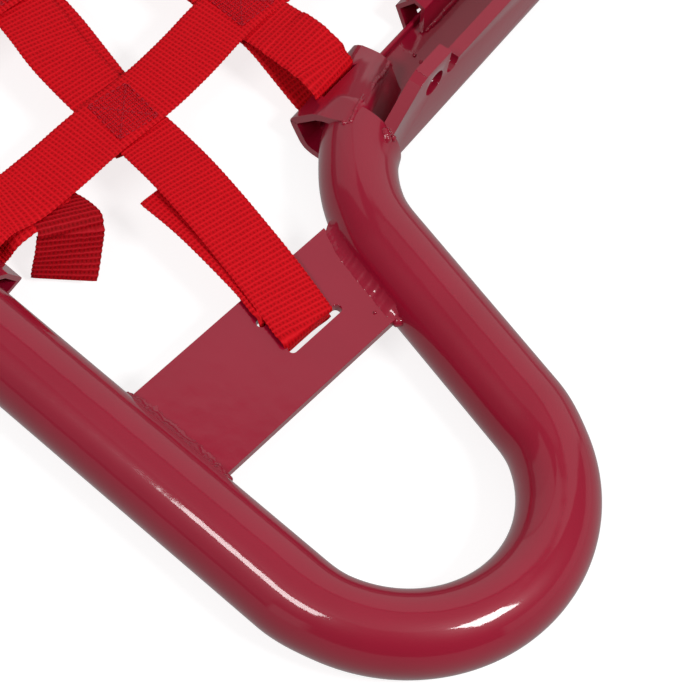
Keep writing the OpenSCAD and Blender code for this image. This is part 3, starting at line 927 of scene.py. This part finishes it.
roots = leg_side(plate_top - 0.1, -0.3)
fillet("weld_plate_leg", roots, leg_side(plate_top - 0.1, SPREAD), leg_side(plate_top + CLIMB, -0.15),
       4, rough=0.3)
corner = roots[-1]
beads("weld_plate_under", [
    ([(plate_x[0], TUBE_R, plate_bottom + 0.8), (plate_x[1], TUBE_R, plate_bottom + 0.8)], 2.4),
    (beside_leg(plate_bottom + 0.8, plate_x[1], plate_x[0], reach=0.2), 2.4),
    ([(plate_x[1] - 1.5, TUBE_R + 2.0, plate_top - 1.9),
      (plate_x[1] + 2.4, TUBE_R - 0.8, plate_top - 1.9)], 2.1),
    ([(plate_x[0] + 1.5, TUBE_R + 2.0, plate_top - 1.9),
      (plate_x[0] - 3.4, TUBE_R - 0.8, plate_top - 1.9)], 2.1),
    ([(plate_x[1] - 2.0, corner[1] - 1.6, plate_top - 1.8),
      (plate_x[1] + 3.0, corner[1] + 1.6, plate_top - 2.2)], 2.3),
], 4, rough=0.7)
beads("weld_spatter", [
    ([(plate_x[1] - 7.4, corner[1] - 5.0, plate_top + 0.2),
      (plate_x[1] - 6.4, corner[1] - 4.8, plate_top + 0.2)], 1.2),
], 9)

seam = []
for at in np.linspace(HOOK_MID - HOOK_LEN / 2 + 0.6, HOOK_MID + HOOK_LEN / 2 - 0.4, 14):
    reach, height = hook_outline(at)[SEAM_AT]
    seam.append(in_bracket(BRACKET, HOOK_LINE - reach, at, height - 0.5))
seam.append(in_bracket(BRACKET, HOOK_LINE - 12.0, 38.5, 9.0))


def bracket_run(*places):
    """A weld's line from places in the bracket's frame: across, along, height."""
    return [in_bracket(BRACKET, *place) for place in places]


beads("weld_bracket", [
    (seam, 0.95),
    (bracket_run((HOOK_LINE - 4.6, -9.3, 28.8), (HOOK_LINE - 2.4, -9.6, 30.2)), 1.3),
    (bracket_run((-26.5, 1.2, 22.0), (-27.0, 1.2, 12.0), (-22.0, 1.2, 6.2), (-12.0, 1.2, 6.0),
                 (-6.0, 1.2, 9.0)), 1.6),
    (bracket_run((-5.05, -2.13, 29.8), (-1.99, -3.66, 29.4), (0.13, -6.39, 28.4)), 1.7),
    (bracket_run((-1.29, -0.81, 27.6), (0.89, -3.05, 27.0)), 1.6),
    (bracket_run((-0.67, -8.32, 28.5), (0.13, -10.21, 28.4)), 1.1),
    (bracket_run((1.52, -4.73, 25.0), (3.23, -4.71, 19.0), (3.94, -4.58, 12.0), (3.39, -4.12, 5.0)),
     1.3),
    (bracket_run((-23.5, 52.6, BRACKET_FLOOR), (-23.5, 54.2, BRACKET_FLOOR)), 0.9),
    (bracket_run((-20.6, 52.4, BRACKET_FLOOR), (-18.6, 52.4, BRACKET_FLOOR)), 0.8),
    (bracket_run((-27.5, 66, 5.6), (-26.6, 76, 5.6), (-27.2, 88, 5.6), (-28.2, 104, 5.6)), 1.3),
], 5)

FOOT_REACH = 7.2                         # from a tube's axis to the bead at a hook's foot
FOOT_HALF = HOOK_LEN / 2 - 1.5           # half that bead's length
FOOT_HEIGHTS = (30.3, 1.8)


def foot_beads(origin, inward, along):
    """Beads where a hook's two feet meet the tube's top and underside."""
    runs = []
    for z in FOOT_HEIGHTS:
        run = [origin + inward * (FOOT_REACH + bulge) + along * share * FOOT_HALF + UP * z
               for share, bulge in ((-1, 0), (0, 0.3), (1, 0))]
        runs.append((run, 1.15))
    return runs


X_WAY, Y_WAY = turned(0), turned(90)
hook_welds = []
for x in STRAP_A_X:
    for axis_y, inward in ((0.0, Y_WAY), (INNER_Y, -Y_WAY)):
        hook_welds += foot_beads(np.array([x, axis_y, 0]), inward, X_WAY)
for y in (FIRST_Y_FRONT, *STRAP_B_Y[1:]):
    hook_welds += foot_beads(np.array([-FRONT_X, y, 0]), X_WAY, Y_WAY)
beads("weld_hooks", hook_welds, 6)

cope = [(-FRONT_X + TUBE_R * abs(math.cos(t)) + 0.5, INNER_Y + TUBE_R * math.cos(t) * 1.01,
         TUBE_R + TUBE_R * math.sin(t) * 0.99) for t in np.linspace(0, 2 * math.pi, 41)]
LIP = -34.6                              # across the bracket, where the inner tube meets it
inner_along = (INNER_Y - BRACKET[1] - ACROSS[1] * LIP) / ALONG[1]
low_ring = bracket_run(*((LIP, inner_along + y / ALONG[1], z) for y, z in (
    (-15.0, 7.6), (-12.0, 3.6), (-6.0, 0.9), (6.0, 0.9), (12.0, 3.6), (15.0, 7.6))))
ear_low, ear_high = about_datum("front_bracket")
ear_x = -FRONT_X - math.sqrt(TUBE_R ** 2 - (ear_high[2] - TUBE_R) ** 2) - 0.3
beads("weld_frame", [
    (cope, 1.5), (low_ring, 1.4),
    ([(ear_x, ear_low[1] + 1, ear_high[2] + 0.2), (ear_x, ear_high[1] - 1, ear_high[2] + 0.2)], 1.5),
    ([(ear_x, ear_low[1] + 1, ear_low[2] - 0.2), (ear_x, ear_high[1] - 1, ear_low[2] - 0.2)], 1.5),
], 8)


# ---------------------------------------------------------------- stitched crossings
def stitch_mesh(name, stitches, material):
    """Short round-ended stitches lying on the webbing. Each is (start, end, radius)."""
    around = 6
    phi = np.linspace(0, 2 * math.pi, around, endpoint=False)
    stations = ((0.0, 0.35), (0.14, 0.85), (0.5, 1.0), (0.86, 0.85), (1.0, 0.35))
    starts = np.array([s[0] for s in stitches])
    ends = np.array([s[1] for s in stitches])
    radii = np.array([s[2] for s in stitches])
    ahead = unit(ends - starts)
    side = unit(np.cross(ahead, UP))
    rings = []
    for share, size in stations:
        centre = starts + (ends - starts) * share
        centre = centre + UP * (np.sin(math.pi * share) * 0.5 * radii)[:, None]
        ring = (np.cos(phi)[None, :, None] * side[:, None, :]
                + np.sin(phi)[None, :, None] * UP) * (size * radii)[:, None, None]
        rings.append(centre[:, None, :] + ring)
    points = np.stack(rings, 1).reshape(-1, 3)
    block = ring_faces(len(stations), around)
    per = len(stations) * around
    faces = [[v + k * per for v in f] for k in range(len(stitches)) for f in block]
    return mesh_object(name, points, faces, material)


def crossing(centre, turn, dice):
    """Box with a cross in it, filled with close rows, on top of two crossing straps."""
    u, v = turned(turn), turned(turn + 90)
    half_u, half_v = 9.4, 9.2
    spot = lambda a, b: centre + u * a + v * b
    out = []

    def row(a, b, step, gap, radius, stray):
        a, b = np.array(a, float), np.array(b, float)
        count = max(1, int(np.linalg.norm(b - a) / (step + gap)))
        for k in range(count):
            t0, t1 = (k + 0.08) / count, (k + 1 - gap / (step + gap)) / count
            p, q = a + (b - a) * t0, a + (b - a) * t1
            jitter = lambda: dice.uniform(-stray, stray)
            out.append((spot(p[0] + jitter(), p[1] + jitter()),
                        spot(q[0] + jitter(), q[1] + jitter()), radius))

    corners = [(-half_u, -half_v), (half_u, -half_v), (half_u, half_v), (-half_u, half_v)]
    for k in range(4):
        row(corners[k], corners[(k + 1) % 4], 2.0, 0.5, 0.36, 0.06)
    row(corners[0], corners[2], 2.0, 0.5, 0.34, 0.08)
    row(corners[1], corners[3], 2.0, 0.5, 0.34, 0.08)
    for k in range(19):
        level = -half_v + 0.9 + k * (2 * half_v - 1.8) / 18
        row((-half_u + 0.5, level), (half_u - 0.5, level), 0.9, 0.35, 0.24, 0.14)
    return out


dice = random.Random(11)
stitches = []
for k, x in enumerate(STRAP_A_X):
    first_y = STRAP_B_Y[0] + 0.9 if k == 0 else FIRST_Y_FRONT - (4.0 if k == 1 else 0.0)
    for j, y in enumerate((first_y, STRAP_B_Y[1], STRAP_B_Y[2])):
        turn = -7.0 if (k, j) == (0, 0) else dice.uniform(-4, 4)
        at = np.array([x + A_SWAY[k](y), y, A_TOP - 0.20])
        stitches += crossing(at, turn, dice)
stitch_mesh("net_stitches", stitches, THREAD)


# ---------------------------------------------------------------- stage, light and camera
def floor_material(name="pale_floor"):
    """A pale floor with faint shadows; the object itself sees it as an even pale grey."""
    n = Nodes(name)
    tree = n.tree
    n.set(Base_Color=(0.38, 0.38, 0.38), Roughness=0.9, Specular_IOR_Level=0.0,
          Emission_Color=(1.0, 1.0, 1.0), Emission_Strength=0.80)
    even = n.add("ShaderNodeEmission", Strength=0.38)
    pick = tree.nodes.new("ShaderNodeMixShader")
    path = tree.nodes.new("ShaderNodeLightPath")
    n.link(path.outputs["Is Camera Ray"], pick.inputs[0])
    n.link(even.outputs[0], pick.inputs[1])
    n.link(n.shader.outputs[0], pick.inputs[2])
    n.link(pick.outputs[0], tree.nodes["Material Output"].inputs["Surface"])
    return n.material


def pale_floor():
    """Floor just under the guard's lowest point."""
    size, height = 3.0, -0.0015
    mesh = bpy.data.meshes.new("floor")
    corners = [(size * a, size * b, height) for a, b in ((-1, -1), (1, -1), (1, 1), (-1, 1))]
    mesh.from_pydata(corners, [], [(0, 1, 2, 3)])
    mesh.materials.append(floor_material())
    add_object("floor", mesh)


def sky_direction(azimuth, elevation):
    a, e = math.radians(azimuth), math.radians(elevation)
    return Vector((math.cos(a) * math.cos(e), math.sin(a) * math.cos(e), math.sin(e)))


TARGET = Vector(metres([-47.69, 86.59, TUBE_R]))    # the camera and the lights look here


def soft_light(name, azimuth, elevation, distance, size, radiance):
    data = bpy.data.lights.new(name, "AREA")
    data.shape = "RECTANGLE"
    data.size, data.size_y = size
    data.energy = radiance * math.pi * size[0] * size[1]
    lamp = add_object(name, data)
    direction = sky_direction(azimuth, elevation)
    lamp.location = TARGET + direction * distance
    lamp.rotation_mode = "QUATERNION"
    lamp.rotation_quaternion = direction.to_track_quat("Z", "Y")


def studio_world():
    """Dim room with pale screens, each a window in azimuth and elevation."""
    world = bpy.data.worlds.new("studio")
    bpy.context.scene.world = world
    world.use_nodes = True
    tree = world.node_tree

    def calc(operation, *values):
        return math_node(tree, operation, values)

    def ramp(value, start, end):
        node = tree.nodes.new("ShaderNodeMapRange")
        node.interpolation_type = "SMOOTHSTEP"
        node.inputs["From Min"].default_value = start
        node.inputs["From Max"].default_value = end
        tree.links.new(value, node.inputs["Value"])
        return node.outputs[0]

    split = tree.nodes.new("ShaderNodeSeparateXYZ")
    tree.links.new(tree.nodes.new("ShaderNodeTexCoord").outputs["Generated"], split.inputs[0])
    azimuth = calc("DEGREES", calc("ARCTAN2", split.outputs[1], split.outputs[0]))
    elevation = calc("DEGREES", calc("ARCSINE", split.outputs[2]))
    soft = 2.5
    # azimuth from and to, elevation from and to, radiance
    screens = [
        (80, 160, 8, 60, 0.66), (-181, -160, 8, 52, 0.50), (160, 181, 8, 52, 0.55),
        (-182, 182, 62, 91, 0.38), (-120, -101, 6, 60, 0.28), (-101, -80, -10, 20, 0.55),
        (2, 80, 0, 20, 0.46),
    ]
    total = 0.12
    for az_from, az_to, el_from, el_to, radiance in screens:
        inside = calc("MULTIPLY", ramp(azimuth, az_from - soft, az_from + soft),
                      ramp(azimuth, az_to + soft, az_to - soft))
        level = calc("MULTIPLY", ramp(elevation, el_from - soft, el_from + soft),
                     ramp(elevation, el_to + soft, el_to - soft))
        total = calc("MAXIMUM", total, calc("MULTIPLY", calc("MULTIPLY", inside, level), radiance))
    seen = tree.nodes.new("ShaderNodeLightPath").outputs["Is Camera Ray"]
    total = calc("MAXIMUM", total, seen)
    background = tree.nodes["Background"]
    tree.links.new(total, background.inputs["Strength"])
    background.inputs["Color"].default_value = (1, 1, 1, 1)


def photo_camera():
    azimuth, elevation, roll, distance = -60.1198, 56.9557, 13.0585, 0.83663
    data = bpy.data.cameras.new("camera")
    data.sensor_width = 36.0
    data.lens = 120.588
    data.clip_start = 0.01
    camera = add_object("camera", data)
    back = sky_direction(azimuth, elevation)
    right = (-back).cross(Vector((0, 0, 1))).normalized()
    up = right.cross(-back)
    c, s = math.cos(math.radians(roll)), math.sin(math.radians(roll))
    x_axis, y_axis = right * c + up * s, up * c - right * s
    turn = Matrix((x_axis, y_axis, back)).transposed()
    camera.matrix_world = Matrix.Translation(TARGET + back * distance) @ turn.to_4x4()
    bpy.context.scene.camera = camera


pale_floor()
studio_world()
soft_light("key_right", 9, 52, 1.7, (0.50, 0.42), 24.0)
soft_light("key_left", -97, 50, 1.7, (0.70, 0.30), 14.0)
photo_camera()
bpy.context.scene.view_settings.view_transform = "Standard"
